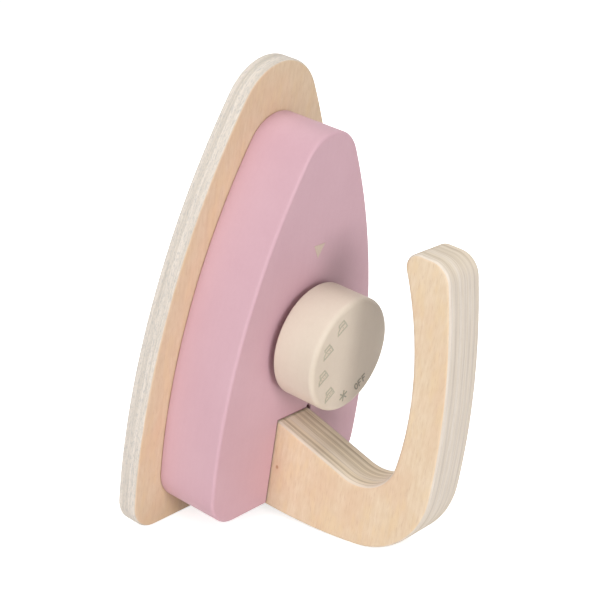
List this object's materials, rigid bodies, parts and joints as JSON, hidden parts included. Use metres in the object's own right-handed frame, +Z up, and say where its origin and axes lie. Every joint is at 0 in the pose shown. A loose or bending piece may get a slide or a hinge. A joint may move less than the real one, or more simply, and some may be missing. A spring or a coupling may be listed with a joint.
{
  "type": "toy iron",
  "caption": "Wooden toy iron standing on its heel: plywood sole plate, pink body block, round turning dial with printed signs and an open hook handle of thick plywood.",
  "frame": {"origin": "on the floor, under the middle of the bounding box, with the iron standing on its heel and leaning on the bend of its handle", "axes": "+Z up, from the heel towards the nose; +X towards the handle, away from the sole; +Y across the iron, to the right of someone who faces the dial"},
  "size_m": [0.1108, 0.106, 0.1665],
  "materials": {
    "birch_ply": "clear matt birch plywood",
    "beech": "bare beech",
    "pink_paint": "satin dusty pink paint on wood",
    "cream_paint": "satin cream paint on wood",
    "cream_print": "matt cream print",
    "grey_print": "matt grey green print",
    "felt": "pressed felt",
    "zinc_steel": "bright zinc plated steel"
  },
  "bodies": {
    "iron": {"sole_plate": "birch_ply", "body_block": "pink_paint", "handle": "birch_ply", "handle_dowel": "beech", "plate_dowels": "beech", "sole_screws": "zinc_steel", "handle_screws": "zinc_steel", "sole_plugs": "beech", "pointer_mark": "cream_print", "felt_ring": "felt"},
    "dial": {"knob": "cream_paint", "spindle": "beech", "retaining_washer": "zinc_steel", "spindle_screw": "zinc_steel", "mark_iron_1": "grey_print", "mark_iron_2": "grey_print", "mark_iron_3": "grey_print", "mark_iron_4": "grey_print", "mark_snowflake": "grey_print", "mark_off": "grey_print"}
  },
  "joints": [
    {"name": "dial_turn", "type": "hinge", "parent": "iron", "child": "dial", "pos_m": [-0.00803, 0, 0.06858], "axis": [0.9855, 0, -0.1695], "continuous": true}
  ]
}
